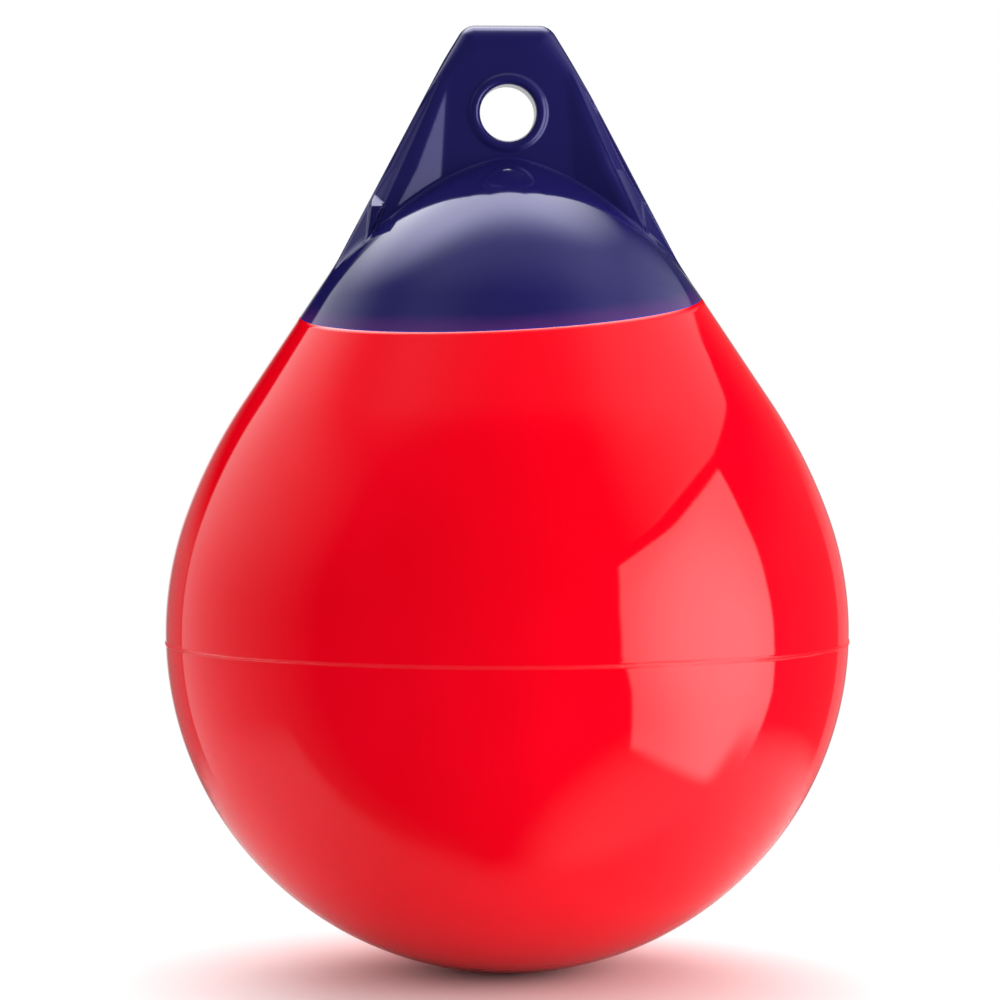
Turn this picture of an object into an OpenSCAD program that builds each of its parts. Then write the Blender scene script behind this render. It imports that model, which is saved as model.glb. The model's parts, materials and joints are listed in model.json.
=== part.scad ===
// Inflatable teardrop buoy: a hollow vinyl float body, a moulded rope end bonded over its
// shoulder, and an inflation valve with a screw plug in the back of the rope end.
// Millimetres, +Z up, origin at the centre of the rope eye, front towards -Y.

/* [Float body] */
// Diameter of the round part of the float
ball_d = 280; // [240:1:330]
// Thickness of the whole vinyl wall
wall = 3.2; // [2.6:0.1:6]
// Drop of the moulding seam below the widest height
seam_drop = 4; // [0:0.5:12]
// Height of the seam's bead over the skin
seam_h = 0.6; // [0.3:0.1:2]
// Width of the seam's bead
seam_w = 2; // [1:0.1:4]

/* [Shoulder] */
// Angle between the shoulder's straight side and the axis
shoulder_angle = 33.8; // [31:0.1:37]
// Angle above the equator where the ball starts to ease into the shoulder
ease_start = 20; // [14:1:26]
// Radius that eases the ball into the shoulder
ease_r = 216; // [190:1:260]
// Length of the shoulder's straight side
shoulder_len = 51; // [40:1:65]
// Radius of the dome's side, seen in section
dome_r = 150; // [130:1:180]

/* [Colour line] */
// Drop of the line between the two vinyls below the shoulder's upper end, at the axis
line_drop = 4.5; // [0:0.5:10]
// Tilt of the line, lower at the front
line_tilt_front = 7; // [0:0.5:9]
// Tilt of the line, lower at the left
line_tilt_left = 2.4; // [0:0.2:5]
// Thickness of the rope end's skin over the float's liner
skin = 1.8; // [1.2:0.1:2]
// Glue gap between skin and liner
bond_gap = 0.1; // [0.05:0.01:0.2]

/* [Rope eye] */
// Bore of the rope eye
eye_d = 23; // [18:0.5:26]
// Height of the eye's centre above the dome's tip
eye_rise = 15.5; // [14:0.5:22]
// Outer diameter of the raised rim round the eye
rim_d = 32; // [28:0.5:38]
// Height of the rim over the web
rim_h = 1.6; // [0.8:0.1:3]
// Thickness of the web that carries the eye
web_t = 19; // [14:0.5:26]

/* [Lug] */
// Height of the lug's top edge above the eye
lug_top = 36.6; // [30:0.2:44]
// Width of the lug's top edge before its corners are rounded
lug_top_w = 36.4; // [32:0.2:44]
// Angle between the lug's sides and the axis
lug_angle = 27.9; // [25:0.1:30]
// Radius of the lug's top corners, seen from the front
lug_corner_r = 7; // [3:0.5:10]
// Radius of the lug's top edges, seen from the side
lug_edge_r = 5; // [2:0.5:6]

/* [Ribs] */
// Drop of the ribs' upper ends below the lug's top edge
rib_drop = 8.6; // [6:0.2:12]
// Angle that a rib's crest leans out from the web
rib_lean = 9.5; // [6:0.5:12]
// Width of a rib's crest at the ledge
crest_w = 5; // [3:0.5:7]
// Width of the plain edge outside a rib, at the ledge
edge_w = 4.5; // [3:0.5:7]
// Angle between the axis and the sides of the web's flat part
web_side_angle = 3.5; // [1:0.5:6]
// Drop of the ledge that ends the plain edge, below the eye
ledge_drop = 40; // [34:1:46]
// Height of the ramp down from the ledge to the plain edge
ledge_ramp = 5; // [3:0.5:8]

/* [Valve] */
// Height angle of the valve on the dome's arc
valve_angle = 46; // [42:1:52]
// Diameter of the moulded pad round the valve
pad_d = 30; // [26:1:36]
// Height of the pad over the dome
pad_h = 2; // [1.5:0.1:3]
// Diameter of the valve body's flange
flange_d = 20; // [17:0.5:24]
// Thickness of the valve body's flange
flange_t = 2.4; // [2:0.1:3.4]
// Diameter of the valve body's shank
shank_d = 11; // [9.5:0.5:13]
// Length of the valve body's shank below its flange
shank_len = 13; // [11:0.5:18]
// Bore of the valve body
bore_d = 6.4; // [5:0.1:7.5]
// Diameter of the plug's head at its seat
head_d = 11.5; // [9:0.5:14]
// Diameter of the plug's head at its top
head_top_d = 10; // [7:0.5:13]
// Height of the plug's head
head_h = 3.2; // [2.4:0.1:4.5]
// Length of the plug's stem
stem_len = 11; // [8:0.5:14]
// Width of the plug's slot
slot_w = 1.8; // [1:0.1:2.4]
// Depth of the plug's slot
slot_depth = 1.6; // [1:0.1:2]
// Play of the valve body in its seat, on the radius
seat_play = 0.15; // [0.05:0.05:0.3]
// Running play of the plug's stem in the bore, on the radius
stem_play = 0.05; // [0.02:0.01:0.1]
// Gap under the plug's head when it is screwed home
head_gap = 0.2; // [0.1:0.05:0.4]

/* [Hidden] */
$fn = 96;

red = [0.87, 0.02, 0.09];
navy = [0.12, 0.11, 0.33];
black = [0.06, 0.06, 0.07];

arc_step = 3;    // degrees between the points of a round profile
overlap = 1;     // how far joined solids reach into each other

function toward(angle) = [cos(angle), sin(angle)];
function arc(centre, r, from, to) =
    let (steps = max(2, ceil(abs(to - from) / arc_step)))
    [for (i = [0 : steps]) centre + r * toward(from + (to - from) * i / steps)];

// Side profile of the float, as [radius, height] from the ball's centre
ball_r = ball_d / 2;
ease_c = (ball_r - ease_r) * toward(ease_start);
ease_end = ease_c + ease_r * toward(shoulder_angle);
dome_start = ease_end + shoulder_len * toward(shoulder_angle + 90);
dome_c = dome_start - dome_r * toward(shoulder_angle);
function dome_end(inset) = acos(-dome_c[0] / (dome_r - inset));
function dome_tip(inset) = dome_c[1] + (dome_r - inset) * sin(dome_end(inset));

// The profile moved inwards by an even inset, closed along the axis
function profile(inset) = concat(
    [[0, inset - ball_r]],
    arc([0, 0], ball_r - inset, arc_step - 90, ease_start),
    arc(ease_c, ease_r - inset, ease_start + arc_step, shoulder_angle),
    arc(dome_c, dome_r - inset, shoulder_angle, dome_end(inset) - arc_step),
    [[0, dome_tip(inset)]]);

ball_z = -dome_tip(0) - eye_rise;            // the ball's centre below the eye
lug_foot = ball_z + dome_start[1];           // the lug's lower end, inside the dome
line_z = lug_foot - line_drop;               // the colour line at the axis

// Solid of revolution of the inset profile
module float_form(inset)
    translate([0, 0, ball_z]) rotate_extrude() polygon(profile(inset));

// Everything above the tilted colour line
module above_line() {
    reach = 2 * ball_d;
    translate([0, 0, line_z])
        rotate([line_tilt_front, -line_tilt_left, 0])
            translate([-reach / 2, -reach / 2, 0]) cube(reach);
}

// The lug's half-width at a height over the eye
web_half = web_t / 2;
function lug_half(z) = lug_top_w / 2 + (lug_top - z) * tan(lug_angle);

// The flat web: a trapezium from the front, with rounded edges along its top
module web() {
    corner_turn = 90 - lug_angle;
    corner_x = lug_top_w / 2 - lug_corner_r * tan(corner_turn / 2);
    right = concat(
        [[lug_half(lug_foot), lug_foot]],
        arc([corner_x, lug_top - lug_corner_r], lug_corner_r, lug_angle, 90));
    left = [for (i = [len(right) - 1 : -1 : 0]) [-right[i][0], right[i][1]]];
    front = concat([[web_half, lug_foot]],
        arc([web_half - lug_edge_r, lug_top - lug_edge_r], lug_edge_r, 0, 90));
    back = [for (i = [len(front) - 1 : -1 : 0]) [-front[i][0], front[i][1]]];
    intersection() {
        rotate([90, 0, 0])
            linear_extrude(2 * web_t, center = true) polygon(concat(right, left));
        rotate([90, 0, 90])
            linear_extrude(4 * lug_half(lug_foot), center = true) polygon(concat(front, back));
    }
}

// The raised rim round the eye, on both faces of the web
module eye_rim() {
    half_w = (rim_d - eye_d) / 4;
    mid_r = eye_d / 2 + half_w;
    crown_step = 20;
    crown = [for (a = [0 : crown_step : 180])
        [mid_r + half_w * cos(a), web_half + rim_h * sin(a)]];
    underside = [for (i = [len(crown) - 1 : -1 : 0]) [crown[i][0], -crown[i][1]]];
    rotate([90, 0, 0]) rotate_extrude() polygon(concat(crown, underside));
}

// Sections of the right front rib and of the block under its ledge, as [x, y] corners.
// Their feet are sunk into the web, so that each visible edge is a true crossing of faces.
rib_top = lug_top - rib_drop;
sunk = web_half - overlap;
function grown(z, full_w) = overlap / 2 + (full_w - overlap / 2) * (rib_top - z) / (rib_top + ledge_drop);
function edge_at(z) = grown(z, edge_w);
function crest_out(z) = lug_half(z) - edge_at(z);
function crest_in(z) = crest_out(z) - grown(z, crest_w);
function rib_foot_out(z) = crest_out(z) + edge_at(z) / 3;
function rib_foot_in(z) = lug_half(rib_top) - 2 * overlap + (rib_top - z) * tan(web_side_angle);
function rib_y(z) = web_half + (rib_top - z) * tan(rib_lean);
function rib_section(z) = [
    [rib_foot_in(z), -sunk],
    [crest_in(z), -rib_y(z)],
    [crest_out(z), -rib_y(z)],
    [rib_foot_out(z), -sunk]];
function block_section(z, y) = [
    [crest_out(z) - overlap, overlap - sunk],
    [crest_out(z) - overlap, -y],
    [rib_foot_out(z), -y],
    [lug_half(z) - overlap / 4, -sunk],
    [lug_half(z) - overlap / 4, overlap - sunk]];

// A solid through flat sections, each [height, corners], from the lowest up
module loft(sections) {
    n = len(sections[0][1]);
    levels = len(sections);
    polyhedron(
        points = [for (s = sections) for (p = s[1]) [p[0], p[1], s[0]]],
        faces = concat(
            [[for (i = [0 : n - 1]) i]],
            [for (k = [0 : levels - 2]) for (i = [0 : n - 1])
                [k * n + i, (k + 1) * n + i, (k + 1) * n + (i + 1) % n, k * n + (i + 1) % n]],
            [[for (i = [n - 1 : -1 : 0]) (levels - 1) * n + i]]));
}

module rib() {
    rib_end = rib_top + 2 * overlap;
    loft([[lug_foot, rib_section(lug_foot)], [rib_end, rib_section(rib_end)]]);
}

module ledge_block() {
    ledge_z = -ledge_drop;
    ramp_z = ledge_z + ledge_ramp;
    loft([
        [lug_foot, block_section(lug_foot, rib_y(lug_foot) - overlap)],
        [ledge_z, block_section(ledge_z, rib_y(ledge_z) - overlap)],
        [ramp_z, block_section(ramp_z, sunk)]]);
}

module four_corners()
    for (x = [0, 1]) for (y = [0, 1]) mirror([x, 0, 0]) mirror([0, y, 0]) children();

// The valve's own frame: its axis along +Z, the dome's skin at zero
valve_at = dome_c + dome_r * toward(valve_angle);
module at_valve()
    translate([0, valve_at[0], ball_z + valve_at[1]]) rotate([valve_angle - 90, 0, 0]) children();

flange_z = pad_h - flange_t;                 // the flange's seat; its top is flush with the pad
shank_z = flange_z - shank_len;              // the shank's inner end

module valve_form(play, above) {
    translate([0, 0, flange_z]) cylinder(d = flange_d + 2 * play, h = flange_t + above);
    translate([0, 0, shank_z - play]) cylinder(d = shank_d + 2 * play, h = shank_len + overlap);
}

module float_body() color(red) {
    seam_r = sqrt(ball_r * ball_r - seam_drop * seam_drop);
    bead_root = seam_r - wall / 2;
    bead_top = seam_r + seam_h;
    difference() {
        union() {
            difference() {
                float_form(0);
                above_line();
            }
            float_form(skin + bond_gap);
            translate([0, 0, ball_z - seam_drop]) rotate_extrude() polygon([
                [bead_root, -seam_w / 2], [seam_r, -seam_w / 2], [bead_top, -seam_w / 6],
                [bead_top, seam_w / 6], [seam_r, seam_w / 2], [bead_root, seam_w / 2]]);
        }
        float_form(wall);
        at_valve() valve_form(seat_play, overlap);
    }
}

module rope_end() color(navy) difference() {
    union() {
        intersection() {
            float_form(0);
            above_line();
        }
        difference() {
            web();
            rotate([90, 0, 0]) cylinder(d = (eye_d + rim_d) / 2, h = 2 * web_t, center = true);
        }
        four_corners() rib();
        four_corners() ledge_block();
        eye_rim();
        at_valve() translate([0, 0, -wall]) cylinder(d = pad_d, h = wall + pad_h);
    }
    float_form(skin);
    at_valve() valve_form(seat_play, overlap);
}

module valve_body() color(black) at_valve() difference() {
    valve_form(0, 0);
    translate([0, 0, shank_z - overlap]) cylinder(d = bore_d, h = shank_len + flange_t + 2 * overlap);
}

module valve_plug() color(black) at_valve() translate([0, 0, pad_h + head_gap]) difference() {
    union() {
        cylinder(d1 = head_d, d2 = head_top_d, h = head_h);
        translate([0, 0, -stem_len]) cylinder(d = bore_d - 2 * stem_play, h = stem_len + overlap);
    }
    translate([-head_d, -slot_w / 2, head_h - slot_depth]) cube([2 * head_d, slot_w, 2 * slot_depth]);
}

float_body();
rope_end();
valve_body();
valve_plug();
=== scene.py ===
import json
import math

import bmesh
import bpy
import numpy as np
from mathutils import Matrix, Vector

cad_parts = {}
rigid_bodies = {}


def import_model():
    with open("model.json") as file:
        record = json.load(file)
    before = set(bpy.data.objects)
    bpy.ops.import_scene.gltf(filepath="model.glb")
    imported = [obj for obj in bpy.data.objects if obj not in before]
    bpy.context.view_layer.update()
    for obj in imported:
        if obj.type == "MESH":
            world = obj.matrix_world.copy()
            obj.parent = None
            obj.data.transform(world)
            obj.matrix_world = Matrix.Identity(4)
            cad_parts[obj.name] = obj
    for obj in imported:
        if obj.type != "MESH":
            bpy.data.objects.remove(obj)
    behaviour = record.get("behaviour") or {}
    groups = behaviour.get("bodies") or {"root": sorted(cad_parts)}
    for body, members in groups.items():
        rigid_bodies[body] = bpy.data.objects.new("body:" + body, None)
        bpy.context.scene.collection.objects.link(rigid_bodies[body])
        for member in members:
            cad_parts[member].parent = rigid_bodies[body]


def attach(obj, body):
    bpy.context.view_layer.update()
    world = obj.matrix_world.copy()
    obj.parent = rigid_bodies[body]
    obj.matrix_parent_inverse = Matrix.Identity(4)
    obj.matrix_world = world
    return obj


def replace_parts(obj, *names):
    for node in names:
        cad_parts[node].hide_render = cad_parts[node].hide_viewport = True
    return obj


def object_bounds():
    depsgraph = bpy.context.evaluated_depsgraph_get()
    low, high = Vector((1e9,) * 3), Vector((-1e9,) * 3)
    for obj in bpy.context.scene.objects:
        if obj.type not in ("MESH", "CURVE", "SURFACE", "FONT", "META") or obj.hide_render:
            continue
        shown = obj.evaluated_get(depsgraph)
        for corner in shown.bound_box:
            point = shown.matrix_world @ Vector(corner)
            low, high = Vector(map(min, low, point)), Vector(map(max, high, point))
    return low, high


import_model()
cadLow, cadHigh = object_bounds()
mm = 0.001
scene = bpy.context.scene
scene.view_settings.view_transform = "Standard"


# Shader maths as Python: a Wire is one socket, a Paint is one material's or world's node tree

class Wire:
    def __init__(self, paint, socket):
        self.paint = paint
        self.socket = socket

    def calc(self, operation, *values):
        return self.paint.node("ShaderNodeMath", {"operation": operation}, dict(enumerate(values)))[0]

    def __add__(self, other):
        return self.calc("ADD", self, other)

    def __sub__(self, other):
        return self.calc("SUBTRACT", self, other)

    def __rsub__(self, other):
        return self.calc("SUBTRACT", other, self)

    def __mul__(self, other):
        return self.calc("MULTIPLY", self, other)

    def __truediv__(self, other):
        return self.calc("DIVIDE", self, other)

    def __rtruediv__(self, other):
        return self.calc("DIVIDE", other, self)

    def __pow__(self, other):
        return self.calc("POWER", self, other)

    def __rpow__(self, other):
        return self.calc("POWER", other, self)

    def __neg__(self):
        return self * -1

    def __abs__(self):
        return self.calc("ABSOLUTE", self)

    __radd__ = __add__
    __rmul__ = __mul__

    def atLeast(self, other):        # the larger of the two
        return self.calc("MAXIMUM", self, other)

    def step(self, low, high):       # smooth 0 to 1 as the value goes from low to high
        return self.paint.node("ShaderNodeMapRange", {"interpolation_type": "SMOOTHSTEP"},
                               {"Value": self, "From Min": low, "From Max": high})[0]


class Paint:
    def __init__(self, holder):
        holder.use_nodes = True
        self.tree = holder.node_tree
        self.tree.nodes.clear()

    def node(self, kind, settings=None, values=None):
        made = self.tree.nodes.new(kind)
        for name, value in (settings or {}).items():
            setattr(made, name, value)
        for name, value in (values or {}).items():
            socket = made.inputs[name]
            if isinstance(value, Wire):
                self.tree.links.new(value.socket, socket)
            else:
                socket.default_value = value
        return [Wire(self, s) for s in made.outputs]

    def place(self):                 # where on the object, in metres in the part's frame
        return self.node("ShaderNodeTexCoord")[3]

    def xyz(self, vector):
        return self.node("ShaderNodeSeparateXYZ", None, {0: vector})

    def noise(self, vector, scale, detail):
        return self.node("ShaderNodeTexNoise", None, {"Vector": vector, "Scale": scale, "Detail": detail})[0]

    def mix(self, share, first, second):
        return self.node("ShaderNodeMix", {"data_type": "RGBA"}, {0: share, 6: first, 7: second})[2]

    def dot(self, vector, direction):
        return self.node("ShaderNodeVectorMath", {"operation": "DOT_PRODUCT"}, {0: vector, 1: direction})[1]

    def bump(self, height, strength, distance):
        return self.node("ShaderNodeBump", None,
                         {"Height": height, "Strength": strength, "Distance": distance})[0]

    def surface(self, shader, kind="ShaderNodeOutputMaterial"):
        self.node(kind, None, {"Surface": shader})


def newPaint(name):
    material = bpy.data.materials.new(name)
    return material, Paint(material)


# The float's side profile in millimetres from the ball's centre, and the tilted line where the vinyls meet

floatForm = {
    "ballR": 140.0, "shoulderAngle": 33.8, "easeStart": 20.0, "easeR": 216.0,
    "shoulderLen": 51.0, "domeR": 150.0, "eyeRise": 15.5,
    "lineDrop": 2.5, "lineTiltFront": 7.25, "lineTiltLeft": 3.0,
}


def toward(degrees):
    return np.array([math.cos(math.radians(degrees)), math.sin(math.radians(degrees))])


ballR = floatForm["ballR"]
domeR = floatForm["domeR"]
easeC = (ballR - floatForm["easeR"]) * toward(floatForm["easeStart"])
easeEnd = easeC + floatForm["easeR"] * toward(floatForm["shoulderAngle"])
domeStart = easeEnd + floatForm["shoulderLen"] * toward(floatForm["shoulderAngle"] + 90)
domeC = domeStart - domeR * toward(floatForm["shoulderAngle"])
domeTip = domeC[1] + math.sqrt(domeR ** 2 - domeC[0] ** 2)
ballZ = -domeTip - floatForm["eyeRise"]          # the ball's centre below the rope eye
lineZ = ballZ + domeStart[1] - floatForm["lineDrop"]
tiltFront = math.radians(floatForm["lineTiltFront"])
tiltLeft = math.radians(floatForm["lineTiltLeft"])
lineNormal = np.array([-math.cos(tiltFront) * math.sin(tiltLeft), -math.sin(tiltFront),
                       math.cos(tiltFront) * math.cos(tiltLeft)])


def profilePoints(step=0.5):
    sphere = [ballR * toward(a) for a in np.arange(-90, floatForm["easeStart"], step)]
    ease = [easeC + floatForm["easeR"] * toward(a)
            for a in np.arange(floatForm["easeStart"], floatForm["shoulderAngle"], step)]
    cone = [easeEnd + (domeStart - easeEnd) * t for t in np.linspace(0, 1, 60)[:-1]]
    dome = [domeC + domeR * toward(a) for a in np.arange(floatForm["shoulderAngle"], 60, step)]
    return np.array(sphere + ease + cone + dome)


# Meshes

def meshPiece(name, points, faces, material, smooth=True):
    mesh = bpy.data.meshes.new(name)
    mesh.from_pydata([tuple(p) for p in points], [], [tuple(int(i) for i in f) for f in faces])
    mesh.validate()
    mesh.update()
    if smooth:
        mesh.polygons.foreach_set("use_smooth", [True] * len(mesh.polygons))
    mesh.materials.append(material)
    piece = bpy.data.objects.new(name, mesh)
    scene.collection.objects.link(piece)
    return piece


def roundMax(a, b, r):               # both solids, with their shared edge rounded
    both = np.hypot(np.maximum(a + r, 0), np.maximum(b + r, 0))
    return np.minimum(np.maximum(a, b), -r) + both


def roundMin(a, b, r):               # either solid, with a fillet between them
    both = np.hypot(np.maximum(r - a, 0), np.maximum(r - b, 0))
    return np.maximum(np.minimum(a, b), r) - both


def softMax(a, b, k):                # as roundMax, for faces that meet at a shallow angle
    near = np.maximum(k - np.abs(a - b), 0)
    return np.maximum(a, b) + near * near / (4 * k)


def fieldSlope(field, p, reach=0.02):
    slope = np.empty_like(p)
    for axis in range(3):
        step = np.zeros(3)
        step[axis] = reach
        slope[:, axis] = (field(*(p + step).T) - field(*(p - step).T)) / (2 * reach)
    return slope


def settle(field, points, limit, rounds=5):
    p = points.copy()
    for _ in range(rounds):
        slope = fieldSlope(field, p)
        away = field(*p.T) / np.maximum((slope ** 2).sum(1), 0.05)
        p -= np.clip(away, -limit, limit)[:, None] * slope
    return p


# Skin of the region where field is below zero: one point a cell, then moved onto the true surface
def skinOf(field, low, high, step):
    axes = [np.arange(a, b + step, step) for a, b in zip(low, high)]
    values = np.stack([field(*np.meshgrid([x], axes[1], axes[2], indexing="ij"))[0] for x in axes[0]])
    inside = values < 0
    counts = sum(inside[i:i - 1 or None, j:j - 1 or None, k:k - 1 or None].astype(np.int8)
                 for i in (0, 1) for j in (0, 1) for k in (0, 1))
    cells = np.argwhere((counts > 0) & (counts < 8))
    number = np.full(counts.shape, -1)
    number[tuple(cells.T)] = np.arange(len(cells))
    total = np.zeros((len(cells), 3))
    hits = np.zeros(len(cells))
    corners = np.array([(i, j, k) for i in (0, 1) for j in (0, 1) for k in (0, 1)])
    for a in corners:
        for axis in range(3):
            if a[axis]:
                continue
            b = a.copy()
            b[axis] = 1
            va = values[tuple((cells + a).T)]
            vb = values[tuple((cells + b).T)]
            crossed = (va < 0) != (vb < 0)
            share = np.where(crossed, va / np.where(crossed, va - vb, 1), 0)
            total += crossed[:, None] * (a + share[:, None] * (b - a))
            hits += crossed
    points = np.array(low) + step * (cells + total / hits[:, None])
    faces = []
    for axis in range(3):
        u, v = (axis + 1) % 3, (axis + 2) % 3
        lower = [slice(1, -1)] * 3
        upper = [slice(1, -1)] * 3
        lower[axis] = slice(0, -1)
        upper[axis] = slice(1, None)
        first = inside[tuple(lower)]
        edges = np.argwhere(first != inside[tuple(upper)])
        leaves = first[tuple(edges.T)]
        base = edges + 1
        base[:, axis] -= 1
        ring = []
        for du, dv in ((-1, -1), (0, -1), (0, 0), (-1, 0)):
            cell = base.copy()
            cell[:, u] += du
            cell[:, v] += dv
            ring.append(number[tuple(cell.T)])
        ring = np.stack(ring, 1)
        faces.append(np.where(leaves[:, None], ring, ring[:, ::-1]))
    return settle(field, points, 0.5 * step), np.concatenate(faces)


# Slivers are merged away, and an edge where two folds of the skin touch is drawn to a point
def mendSkin(work, step):
    bmesh.ops.remove_doubles(work, verts=work.verts[:], dist=0.03 * step * mm)
    bmesh.ops.collapse(work, edges=[e for e in work.edges if len(e.link_faces) > 2])


# A smooth face is shaded by the field's own slope, a flat one by its plane
def useFieldNormals(piece, field):
    mesh = piece.data
    p = np.empty(len(mesh.vertices) * 3)
    mesh.vertices.foreach_get("co", p)
    slope = fieldSlope(field, p.reshape(-1, 3) / mm)
    slope /= np.maximum(np.linalg.norm(slope, axis=1, keepdims=True), 1e-9)
    normals = []
    for polygon in mesh.polygons:
        for vertex in polygon.vertices:
            normals.append(tuple(slope[vertex] if polygon.use_smooth else polygon.normal))
    mesh.normals_split_custom_set(normals)


# Float body: the ball and shoulder up to the colour line, with the seam's bead round it

bodyForm = {
    "turns": 480, "rowsBelow": 58, "rowsSeam": 37, "rowsAbove": 44, "rowsLine": 12,
    "firstRow": 3.5, "lastLevel": 108.0,     # rows are level up to here, then ease into the tilted line
    "seamDrop": 4.0, "beadHeight": 0.5, "beadWidth": 0.42, "beadHalf": 2.3,
}


def seamShape(around, away):         # height of the bead over the ball, in millimetres
    wander = 0.25 * np.sin(3 * around + 0.7) + 0.12 * np.sin(11 * around) + 0.07 * np.sin(37 * around + 2)
    swell = 0.62 + 0.3 * np.sin(2 * around + 0.9) + 0.2 * np.sin(7 * around + 0.4)
    swell = swell + 0.12 * np.sin(29 * around)
    nibs = 0.5 * np.maximum(0, np.sin(41 * around + 3 * np.sin(5 * around)) - 0.86) * 5
    ledge = np.clip(0.35 + 0.5 * np.sin(around + 0.6) + 0.25 * np.sin(5 * around + 1), 0, 0.7)
    main = np.clip(swell + nibs, 0.12, 1.1) * np.exp(-((away - wander) / bodyForm["beadWidth"]) ** 2)
    second = ledge * np.exp(-((away - wander - 1.1 - 0.3 * np.sin(4 * around)) / 0.3) ** 2)
    return bodyForm["beadHeight"] * (main + second)


def makeFloatBody(material):
    turns = bodyForm["turns"]
    around = np.arange(turns) * 2 * math.pi / turns
    profile = profilePoints()
    run = np.concatenate([[0], np.cumsum(np.linalg.norm(np.diff(profile, axis=0), axis=1))])
    seamRun = np.interp(-bodyForm["seamDrop"], profile[:, 1], run)
    lastRun = np.interp(bodyForm["lastLevel"], profile[:, 1], run)
    half = bodyForm["beadHalf"]
    levels = np.concatenate([
        np.linspace(bodyForm["firstRow"], seamRun - half, bodyForm["rowsBelow"])[:-1],
        np.linspace(seamRun - half, seamRun + half, bodyForm["rowsSeam"])[:-1],
        np.linspace(seamRun + half, lastRun, bodyForm["rowsAbove"])])
    out = np.stack([np.cos(around), np.sin(around)], 1)
    side = out @ lineNormal[:2]
    ends = []
    for lean in side:                # where the profile meets the line's plane, at each angle
        above = lean * profile[:, 0] + lineNormal[2] * (profile[:, 1] + ballZ - lineZ)
        ends.append(np.interp(0, above[run > lastRun], run[run > lastRun]))
    ends = np.array(ends)
    rows = [np.full(turns, level) for level in levels]
    rows += [lastRun + (ends - lastRun) * t for t in np.linspace(0, 1, bodyForm["rowsLine"])[1:]]
    points = [(0, 0, ballZ - ballR)]
    for row in rows:
        rho = np.interp(row, run, profile[:, 0])
        z = np.interp(row, run, profile[:, 1])
        lift = seamShape(around, row - seamRun)
        near = np.abs(row - seamRun) < half + 1
        rho = np.where(near, rho + lift, rho)
        points += list(np.stack([rho * out[:, 0], rho * out[:, 1], z + ballZ], 1))
    count = len(rows)
    points.append((0, 0, lineZ))
    after = (np.arange(turns) + 1) % turns
    faces = [(0, 1 + b, 1 + a) for a, b in enumerate(after)]
    for row in range(count - 1):
        low = 1 + row * turns
        high = low + turns
        faces += [(low + a, low + b, high + b, high + a) for a, b in enumerate(after)]
    rim = 1 + (count - 1) * turns
    faces += [(rim + a, rim + b, len(points) - 1) for a, b in enumerate(after)]
    piece = meshPiece("float_skin", np.array(points) * mm, faces, material)
    for polygon in piece.data.polygons[-turns:]:
        polygon.use_smooth = False
    return piece


# Rope end: dome, web, ribs, ledges, eye and valve pad as one filleted moulding

ropeEndForm = {
    "gridStep": 0.82, "gridReach": 94.0, "gridBelow": 16.0, "gridAbove": 38.0,
    "eyeD": 23.0, "rimD": 32.0, "rimHeight": 1.6, "boreLip": 1.4, "domeFillet": 1.6,
    "webT": 19.0, "top": 36.6, "topW": 36.4, "angle": 27.9, "crown": 36.85, "cornerR": 8.3,
    "edgeTopR": 9.2, "edgeSideR": 2.2, "bevel": 4.2, "bevelLean": (0.74, 0.67), "ridgeR": 1.5,
    "ribDrop": 8.6, "ribSunk": 1.0, "wallStart": 2.6, "webSide": 3.5, "wallSlope": 0.34,
    "ridgeIn": 2.5, "ridgeGrow": 0.155, "ridgeMost": 10.4, "ridgeSoft": 1.6,
    "crestR": 30.0, "crestTilt": 18.5, "crestIn": 1.2, "crestGrow": 0.075, "crestSoft": 0.8,
    "crestSink": 6.0,                # how far the crest goes down into the web near the top
    "beadW": 0.85, "beadH": 0.4, "beadIn": 0.9, "outerLeft": 46.0, "outerRight": 58.0, "recess": 2.1,
    "ledgeLeft": -38.6, "ledgeRight": -47.0, "rampLeft": 5.3, "rampRight": 10.0,
    "ledgeRise": 8.8, "ledgeOut": 55.8, "ledgeLap": 0.7, "ledgeSoft": 0.6,
    "valveAngle": 46.0, "padD": 30.0, "padH": 2.0, "flangeD": 20.0, "flangeT": 2.4, "seatPlay": 0.15,
    "shankHole": 5.7, "holeDepth": 16.0,
}
webHalf = ropeEndForm["webT"] / 2
lugTan = math.tan(math.radians(ropeEndForm["angle"]))
ribTop = ropeEndForm["top"] - ropeEndForm["ribDrop"]
valveOut = toward(ropeEndForm["valveAngle"])
valveAt = domeC + domeR * valveOut
valveBase = np.array([0, valveAt[0], ballZ + valveAt[1]])
valveAxis = np.array([0, valveOut[0], valveOut[1]])


def rising(value, start, run):       # 0 at the start, 1 at the end of the run
    return np.clip((value - start) / run, 0, 1)


def lugHalf(z):                      # half the lug's width at a height
    return ropeEndForm["topW"] / 2 + (ropeEndForm["top"] - z) * lugTan


def domeField(x, y, z):
    rho = np.hypot(x, y)
    up = z - ballZ
    arc = np.hypot(rho - domeC[0], up - domeC[1]) - domeR
    lean = toward(floatForm["shoulderAngle"])
    cone = (rho - domeStart[0]) * lean[0] + (up - domeStart[1]) * lean[1]
    onArc = (up - domeC[1]) * lean[0] > (rho - domeC[0]) * lean[1]
    return np.where(onArc, arc, cone)


def sideField(ax, z):
    lean = toward(ropeEndForm["angle"])
    return (ax - ropeEndForm["topW"] / 2) * lean[0] + (z - ropeEndForm["top"]) * lean[1]


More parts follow.
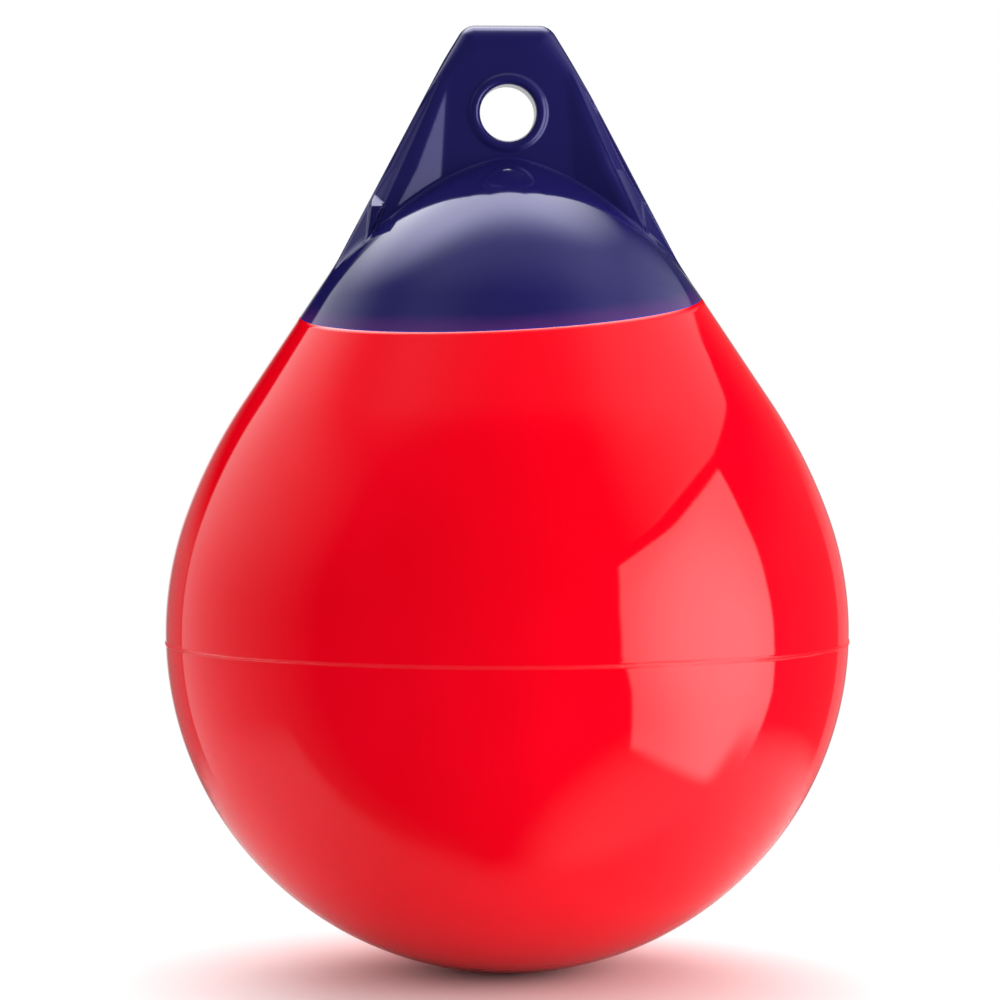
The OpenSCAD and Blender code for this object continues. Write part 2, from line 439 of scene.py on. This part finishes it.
def webField(ax, ay, z):
    f = ropeEndForm
    lean = toward(f["angle"])
    r = f["cornerR"]
    cornerZ = f["crown"] - r
    cornerX = f["topW"] / 2 - (r + (cornerZ - f["top"]) * lean[1]) / lean[0]
    ux, uz = ax - cornerX, z - cornerZ
    atCorner = (ux > 0) & (uz * lean[0] > ux * lean[1])
    outline = np.where(atCorner, np.hypot(ux, uz) - r, np.maximum(sideField(ax, z), z - f["crown"]))
    share = rising(z, 2, 32)
    edge = f["edgeSideR"] + (f["edgeTopR"] - f["edgeSideR"]) * share * share * (3 - 2 * share)
    slope = np.hypot(ay, f["ridgeR"]) - math.hypot(webHalf, f["ridgeR"])    # the bevels meet in a round
    bevel = f["bevelLean"][0] * outline + f["bevelLean"][1] * slope + f["bevel"] * share
    outline = roundMax(outline, bevel, 0.5 * edge)
    return roundMax(outline, ay - webHalf, np.maximum(0.6 * edge, f["edgeSideR"]))


# Each rib is a wall that climbs to a ridge, a crest that rounds over outwards, and a steep outer face
def ribField(x, ay, z):
    f = ropeEndForm
    ax = np.abs(x)
    onRight = x > 0
    base = webHalf - f["ribSunk"]
    down = np.maximum(ribTop - z, 0)
    ridge = lugHalf(z) - np.minimum(f["ridgeIn"] + f["ridgeGrow"] * down, f["ridgeMost"])
    foot = lugHalf(ribTop) - f["wallStart"] + down * math.tan(math.radians(f["webSide"]))
    lean = toward(math.degrees(math.atan(f["wallSlope"])))
    wall = (ay - base) * lean[0] - (ax - foot) * lean[1]
    crestY = base + np.maximum(ridge - foot, 0) * f["wallSlope"]
    crestY = crestY - f["crestSink"] * rising(z, 10, 14) ** 2
    crestOut = lugHalf(z) - f["crestIn"] - f["crestGrow"] * down
    r = f["crestR"]
    turn = r * toward(f["crestTilt"])                            # the crest turns outwards from its ridge on
    bead = np.exp(-((ax - crestOut + f["beadIn"]) / f["beadW"]) ** 2) * rising(down, 0, 20)
    crest = np.hypot(ax - ridge + turn[1], ay - crestY + turn[0]) - r - f["beadH"] * bead
    edgeY = crestY - turn[0] + np.sqrt(r * r - (crestOut - ridge + turn[1]) ** 2)
    slant = np.radians(np.where(onRight, f["outerRight"], f["outerLeft"]))
    outer = 0.9 * (np.sin(slant) * (ax - crestOut) + np.cos(slant) * (ay - edgeY))
    rib = roundMax(softMax(wall, crest, f["ridgeSoft"]), outer, f["crestSoft"])
    rib = roundMax(rib, sideField(ax, z) + 0.3 + 2.5 * rising(z, 2, 22), f["crestSoft"])
    rib = roundMax(rib, z - ribTop + 2, 1.5)
    flange = webHalf - f["recess"] * rising(z, 18, -18)
    room = roundMin(ay - flange, outer, 0.6)                     # the web steps back outside the crest
    ledgeZ = np.where(onRight, f["ledgeRight"], f["ledgeLeft"])
    ramp = np.where(onRight, f["rampRight"], f["rampLeft"])
    rise, soft = f["ledgeRise"], f["ledgeSoft"]
    ledgeY = base + rise
    top = ((ay - ledgeY) * ramp + (z - ledgeZ) * rise) / np.hypot(ramp, rise)
    face = ay - ledgeY - 0.1 * (ledgeZ - z)
    end = 0.98 * (ax - f["ledgeOut"] + 0.15 * (z - ledgeZ)) + 0.12 * face
    block = roundMax(roundMax(top, face, soft), roundMax(end, crestOut - f["ledgeLap"] - ax, 0.3), soft)
    return rib, roundMax(block, sideField(ax, z) + 0.8, soft), room


def valveSpot(y, z):                 # sideways from the valve's axis, and height over the dome
    dy, dz = y - valveBase[1], z - valveBase[2]
    return dy * valveAxis[2] - dz * valveAxis[1], dy * valveAxis[1] + dz * valveAxis[2]


def ropeEndField(x, y, z):
    f = ropeEndForm
    ax, ay = np.abs(x), np.abs(y)
    rib, block, room = ribField(x, ay, z)
    web = roundMax(webField(ax, ay, z), room, 0.6)
    lug = roundMin(-softMax(-web, -rib, 0.5), block, 0.5)
    eye = np.hypot(x, z)
    half = (f["rimD"] - f["eyeD"]) / 4
    bead = np.hypot(eye - f["eyeD"] / 2 - half, ay - webHalf - f["rimHeight"] + half) - half
    lug = roundMax(roundMin(lug, bead, 0.9), f["eyeD"] / 2 - eye, f["boreLip"])
    whole = roundMin(domeField(x, y, z), lug, f["domeFillet"])
    side, height = valveSpot(y, z)
    across = np.hypot(x, side)
    pad = roundMax(across - f["padD"] / 2, height - f["padH"], 0.8)
    whole = roundMin(whole, np.where(y > 0, pad, 99), 1.0)       # at the back only
    seat = np.maximum(across - f["flangeD"] / 2 - f["seatPlay"], f["padH"] - f["flangeT"] - height)
    seat = np.minimum(seat, np.maximum(across - f["shankHole"], -f["holeDepth"] - height))
    return np.where(y > 0, roundMax(whole, -seat, 0.35), whole)


def makeRopeEnd(material):
    f = ropeEndForm
    low = (-f["gridReach"], -f["gridReach"], lineZ - f["gridBelow"])
    high = (f["gridReach"], f["gridReach"], f["gridAbove"])
    points, faces = skinOf(ropeEndField, low, high, f["gridStep"])
    piece = meshPiece("rope_end_skin", points * mm, faces, material)
    work = bmesh.new()
    work.from_mesh(piece.data)
    cut = bmesh.ops.bisect_plane(
        work, geom=work.verts[:] + work.edges[:] + work.faces[:], dist=1e-7,
        plane_co=(0, 0, lineZ * mm), plane_no=tuple(lineNormal), clear_inner=True)
    rim = [v for v in cut["geom_cut"] if isinstance(v, bmesh.types.BMVert)]
    bmesh.ops.remove_doubles(work, verts=rim, dist=0.06 * mm)
    mendSkin(work, f["gridStep"])
    for face in work.faces:
        face.smooth = True
    centre = work.verts.new((0, 0, lineZ * mm))
    for edge in [e for e in work.edges if e.is_boundary]:        # the flat underside, as a fan
        work.faces.new((*edge.verts, centre)).smooth = False
    bmesh.ops.recalc_face_normals(work, faces=work.faces[:])
    work.to_mesh(piece.data)
    work.free()
    useFieldNormals(piece, ropeEndField)
    return piece


# Air valve: a flanged seat in the pad, and the slotted screw plug that closes it

valveBodyForm = {
    "reach": 12.0, "step": 0.35, "low": -13.4, "top": 2.0, "flangeR": 10.0, "flangeLow": -0.4,
    "shankR": 5.5, "shankTop": 1.0, "boreR": 3.2, "grooveAt": 7.9, "grooveR": 0.35,
}
valvePlugForm = {
    "reach": 7.0, "step": 0.2, "low": -8.8, "top": 5.4, "headLow": 2.2, "headR": 5.75, "headTopR": 5.0,
    "flutes": 26, "fluteDepth": 0.12, "slotHalf": 0.9, "slotFloor": 3.8,
    "stemR": 3.15, "pitch": 1.3, "threadDepth": 0.3, "threadTop": 1.4,
}


def valveBodyField(x, y, z):
    f = valveBodyForm
    side, height = valveSpot(y, z)
    across = np.hypot(x, side)
    flange = roundMax(across - f["flangeR"], np.maximum(height - f["top"], f["flangeLow"] - height), 0.5)
    shank = roundMax(across - f["shankR"], np.maximum(f["low"] - height, height - f["shankTop"]), 0.4)
    groove = f["grooveR"] - np.hypot(across - f["grooveAt"], height - f["top"])
    whole = np.maximum(np.minimum(flange, shank), groove)
    return roundMax(whole, f["boreR"] - across, 0.3)


def plugField(x, y, z):
    f = valvePlugForm
    side, height = valveSpot(y, z)
    across = np.hypot(x, side)
    turn = np.arctan2(side, x)
    taper = (f["headR"] - f["headTopR"]) / (f["top"] - f["headLow"])
    flute = f["fluteDepth"] * (1 - np.cos(f["flutes"] * turn))
    rim = across - f["headR"] + taper * (height - f["headLow"]) + flute
    head = roundMax(rim, np.maximum(height - f["top"], f["headLow"] - height), 0.45)
    slot = np.maximum(np.abs(side) - f["slotHalf"], f["slotFloor"] - height)
    head = roundMax(head, -slot, 0.25)
    wind = height / f["pitch"] - turn / (2 * math.pi)
    thread = f["threadDepth"] * (0.5 + 0.5 * np.cos(2 * math.pi * wind))
    thread = thread * np.clip((f["threadTop"] - height) * 2, 0, 1)
    ends = np.maximum(f["low"] - height, height - f["headLow"] - 1)
    return np.minimum(head, 0.8 * np.maximum(across - f["stemR"] + thread, ends))


def makeValvePiece(name, field, form, material):
    ends = [valveBase + valveAxis * h for h in (form["low"], form["top"])]
    low = np.min(ends, axis=0) - form["reach"] - 0.0137          # keeps grid points off the round sizes
    high = np.max(ends, axis=0) + form["reach"]
    points, faces = skinOf(field, low, high, form["step"])
    piece = meshPiece(name, points * mm, faces, material)
    work = bmesh.new()
    work.from_mesh(piece.data)
    mendSkin(work, form["step"])
    work.to_mesh(piece.data)
    work.free()
    useFieldNormals(piece, field)
    return piece


# Materials

vinylRed = {
    "colour": (0.90, 0.0004, 0.012, 1), "deep": (0.84, 0.0003, 0.009, 1),
    "roughness": 0.055, "seamRough": 0.2,
}
vinylNavy = {
    "colour": (0.0125, 0.0102, 0.096, 1), "deep": (0.0108, 0.0088, 0.084, 1), "sheen": (0.62, 0.60, 1, 1),
    "roughness": 0.07, "lugRough": 0.12, "ior": 1.66,
    "purple": (0.055, 0.016, 0.120, 1), "purpleWidth": 7.0,      # where the navy meets the red
    "line": (0.030, 0.020, 0.230, 1), "lineWidth": 0.7,
}
plasticBlack = {"dark": (0.012, 0.012, 0.013, 1), "pale": (0.03, 0.03, 0.032, 1), "roughness": 0.34}


def redVinyl():
    material, paint = newPaint("red_vinyl")
    spot = paint.place()
    cloud = paint.noise(spot, 14, 3)
    grain = paint.noise(spot, 900, 2)
    wave = paint.noise(spot, 28, 1)
    colour = paint.mix(cloud.step(0.3, 0.7), vinylRed["deep"], vinylRed["colour"])
    offSeam = abs(paint.xyz(spot)[2] / mm - (ballZ - bodyForm["seamDrop"]))
    rough = vinylRed["roughness"] + (cloud - 0.5) * 0.03 + (grain - 0.5) * 0.02
    rough = rough + offSeam.step(1.1, 0.5) * vinylRed["seamRough"]
    bump = paint.bump(grain * 0.01 + wave * 0.5, 0.12, 0.0004)
    paint.surface(paint.node("ShaderNodeBsdfPrincipled", None, {
        "Base Color": colour, "Roughness": rough, "IOR": 1.5, "Normal": bump})[0])
    return material


def navyVinyl():
    material, paint = newPaint("navy_vinyl")
    spot = paint.place()
    cloud = paint.noise(spot, 22, 3)
    grain = paint.noise(spot, 1100, 2)
    colour = paint.mix(cloud.step(0.3, 0.7), vinylNavy["deep"], vinylNavy["colour"])
    above = paint.dot(spot, tuple(lineNormal)) / mm - float(lineNormal[2] * lineZ)
    wobble = (paint.noise(spot, 60, 2) - 0.5) * 3
    width = vinylNavy["lineWidth"]
    colour = paint.mix((above + wobble).step(vinylNavy["purpleWidth"], 0.5), colour, vinylNavy["purple"])
    colour = paint.mix(above.step(width, width * 0.4), colour, vinylNavy["line"])
    x, y, z = paint.xyz(spot)
    rho = (x * x + y * y) ** 0.5 / mm - float(domeC[0])
    up = z / mm - float(ballZ + domeC[1])
    onLug = ((rho * rho + up * up) ** 0.5 - domeR).step(0.4, 2.5)            # less glossy than the dome
    rough = vinylNavy["roughness"] + (cloud - 0.5) * 0.05 + (grain - 0.5) * 0.05
    rough = rough + onLug * vinylNavy["lugRough"]
    bump = paint.bump(grain * 0.008 + paint.noise(spot, 45, 2) * 0.4, 0.12, 0.0004)
    paint.surface(paint.node("ShaderNodeBsdfPrincipled", None, {
        "Base Color": colour, "Roughness": rough, "IOR": vinylNavy["ior"],
        "Specular Tint": vinylNavy["sheen"], "Normal": bump})[0])
    return material


def blackPlastic():
    material, paint = newPaint("black_plastic")
    grain = paint.noise(paint.place(), 2600, 3)
    colour = paint.mix(grain, plasticBlack["dark"], plasticBlack["pale"])
    paint.surface(paint.node("ShaderNodeBsdfPrincipled", None, {
        "Base Color": colour, "Roughness": plasticBlack["roughness"] + grain * 0.12, "IOR": 1.5,
        "Normal": paint.bump(grain, 0.15, 0.0001)})[0])
    return material


floatBody = makeFloatBody(redVinyl())
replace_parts(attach(floatBody, "buoy"), "float_body")
print("float body:", len(floatBody.data.polygons), "faces")
ropeEnd = makeRopeEnd(navyVinyl())
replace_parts(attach(ropeEnd, "buoy"), "rope_end")
print("rope end:", len(ropeEnd.data.polygons), "faces")
valvePlastic = blackPlastic()
valveBody = makeValvePiece("valve_seat", valveBodyField, valveBodyForm, valvePlastic)
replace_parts(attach(valveBody, "buoy"), "valve_body")
valvePlug = makeValvePiece("valve_screw", plugField, valvePlugForm, valvePlastic)
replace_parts(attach(valvePlug, "plug"), "valve_plug")
print("valve:", len(valveBody.data.polygons), "and", len(valvePlug.data.polygons), "faces")


# Studio: white background, a pale floor under the float, soft panels and glows round it

# A panel's rows run from low to high, each with a front and a back end, in metres
rightSoftbox = {"strength": 3.7, "soft": (0.03, 0.02, 0.06, 0.02), "rim": 0.5, "rows": [
    (0.0, (0.751, -0.889, -0.960), (1.128, 0.018, -1.096)),
    (0.3, (0.736, -1.015, -0.525), (1.206, 0.060, -0.491)),
    (0.45, (0.707, -1.131, -0.301), (1.205, 0.022, -0.280)),
    (0.65, (0.722, -1.161, 0.012), (1.224, 0.008, -0.010)),
    (1.0, (0.762, -1.141, 0.341), (1.298, 0.038, 0.655)),
]}
upperPanel = {"strength": 0.7, "soft": (0.62, 0.02, 0.03, 0.6), "rim": 1, "rows": [
    (0.0, (0.718, -1.012, 0.391), (1.094, 0.020, 0.575)),
    (0.35, (0.522, -0.836, 0.751), (0.896, 0.694, 0.479)),
    (0.65, (0.380, -0.493, 1.031), (0.748, 0.920, 0.357)),
    (1.0, (0.300, 0.100, 1.120), (0.500, 1.080, 0.340)),
]}


def lightPanel(name, form):
    material, paint = newPaint(name)
    u, v, _ = paint.xyz(paint.node("ShaderNodeTexCoord")[2])
    front, back, low, high = form["soft"]
    fade = u.step(0, front) * u.step(1, 1 - back) * v.step(0, low) * v.step(1, 1 - high)
    off = ((u - 0.55) ** 2 + (v - 0.5) ** 2) ** 0.5
    level = fade * form["strength"] * (1 - (1 - form["rim"]) * off.step(0.1, 0.6))
    level = level * (1 - 0.3 * paint.node("ShaderNodeLightPath")[2])         # weaker on dull surfaces
    glow = paint.node("ShaderNodeEmission", None, {"Color": level, "Strength": 1})
    clear = paint.node("ShaderNodeBsdfTransparent")
    paint.surface(paint.node("ShaderNodeAddShader", None, {0: glow[0], 1: clear[0]})[0])
    rows = form["rows"]
    points = [end for _, *ends in rows for end in ends]
    faces = [(2 * i, 2 * i + 1, 2 * i + 3, 2 * i + 2) for i in range(len(rows) - 1)]
    panel = meshPiece(name, points, faces, material, False)
    layer = panel.data.uv_layers.new(name="across")
    for loop in panel.data.loops:
        layer.data[loop.index].uv = (loop.vertex_index % 2, rows[loop.vertex_index // 2][0])
    panel.visible_camera = False
    panel.visible_shadow = False


floorForm = {
    "low": (-0.45, -0.2), "high": (0.45, 0.45), "front": (-0.135, -0.105), "fade": (0.42, 0.24),
    # mirrored: painted shade, a darker floor colour that only reflections see
    "colour": (0.88, 0.88, 0.88, 1), "mirrored": (0.42, 0.42, 0.42, 1),
}


def makeFloor():
    material, paint = newPaint("pale_floor")
    x, y, _ = paint.xyz(paint.place())
    plain = paint.node("ShaderNodeBsdfDiffuse", None, {"Color": floorForm["colour"]})
    # painted shade: the floor looks darker in the float's reflections than it does to the camera
    paintedShadeFloor = paint.node("ShaderNodeBsdfDiffuse", None, {"Color": floorForm["mirrored"]})
    mirrored = paint.node("ShaderNodeLightPath")[3]
    shown = paint.node("ShaderNodeMixShader", None, {0: mirrored, 1: plain[0], 2: paintedShadeFloor[0]})
    clear = paint.node("ShaderNodeBsdfTransparent")
    share = y.step(*floorForm["front"]) * ((x * x + y * y) ** 0.5).step(*floorForm["fade"])
    paint.surface(paint.node("ShaderNodeMixShader", None, {0: share, 1: clear[0], 2: shown[0]})[0])
    (left, near), (right, far), z = floorForm["low"], floorForm["high"], cadLow[2]
    points = [(left, near, z), (right, near, z), (right, far, z), (left, far, z)]
    meshPiece("floor", points, [(0, 1, 2, 3)], material, False)


studio = {
    "top": 3.7, "topAim": (-0.07, 0.5, 0.863), "floorGlow": 0.6, "floorAim": (0.58, -0.15, -0.79),
    "rightFill": 0.08, "back": 0.22, "backSpot": 0.8, "ceiling": 0.6, "ambient": 0.77, "dullShare": 0.8,
}


def makeWorld():
    world = bpy.data.worlds.new("studio")
    scene.world = world
    paint = Paint(world)
    aim = paint.node("ShaderNodeTexCoord")[0]
    x, y, z = paint.xyz(aim)
    top = paint.dot(aim, studio["topAim"]).step(0.78, 0.97) * y.step(-0.05, 0.35) * studio["top"]
    floorGlow = paint.dot(aim, studio["floorAim"]).step(0.78, 0.97) * studio["floorGlow"]
    ramp = (y * 0.6 + 0.22).atLeast(0) * (-x).step(0.05, 0.3) * (1 - y.step(0.78, 0.80))
    left = ramp * (1 + 0.6 * z.step(0.05, 0.45)) * (1 - z.step(0.55, 0.85))
    right = x.step(0.15, 0.4) * y.step(-0.2, 0.3) * (1 - z.step(0.2, 0.5)) * studio["rightFill"]
    behind = y.step(0.79, 0.81) * (1 - z.step(0.05, 0.22)) * studio["back"]
    behind = behind + y.step(0.965, 0.998) * studio["backSpot"]
    ceiling = z.step(0.7, 0.95) * y.step(-0.5, 0) * studio["ceiling"]
    light = top + floorGlow + left + right + behind + ceiling
    ray = paint.node("ShaderNodeLightPath")          # 0 camera, 2 diffuse, 3 glossy, 6 transmission
    strength = ray[0].atLeast(ray[3].atLeast(ray[6]) * light)
    strength = strength.atLeast(ray[2] * (light * studio["dullShare"] + studio["ambient"]))
    sky = paint.node("ShaderNodeBackground", None, {"Color": strength, "Strength": 1})
    paint.surface(sky[0], "ShaderNodeOutputWorld")


lightPanel("right_softbox", rightSoftbox)
lightPanel("upper_panel", upperPanel)
makeFloor()
makeWorld()
print("studio ready")


cameraForm = {
    "distance": 1.5, "azimuth": -3.0, "height": -0.103, "aim": (-0.0029, 0.0, -0.1581), "lens": 131.5,
    "sensor": 36,
}


def makeCamera():
    data = bpy.data.cameras.new("camera")
    data.sensor_width = cameraForm["sensor"]
    data.lens = cameraForm["lens"]
    camera = bpy.data.objects.new("camera", data)
    scene.collection.objects.link(camera)
    turn = math.radians(cameraForm["azimuth"])
    camera.location = (cameraForm["distance"] * math.sin(turn), -cameraForm["distance"] * math.cos(turn),
                       cameraForm["height"])
    camera.rotation_mode = "QUATERNION"
    camera.rotation_quaternion = (Vector(cameraForm["aim"]) - camera.location).to_track_quat("-Z", "Y")
    scene.camera = camera


makeCamera()
print("camera set")
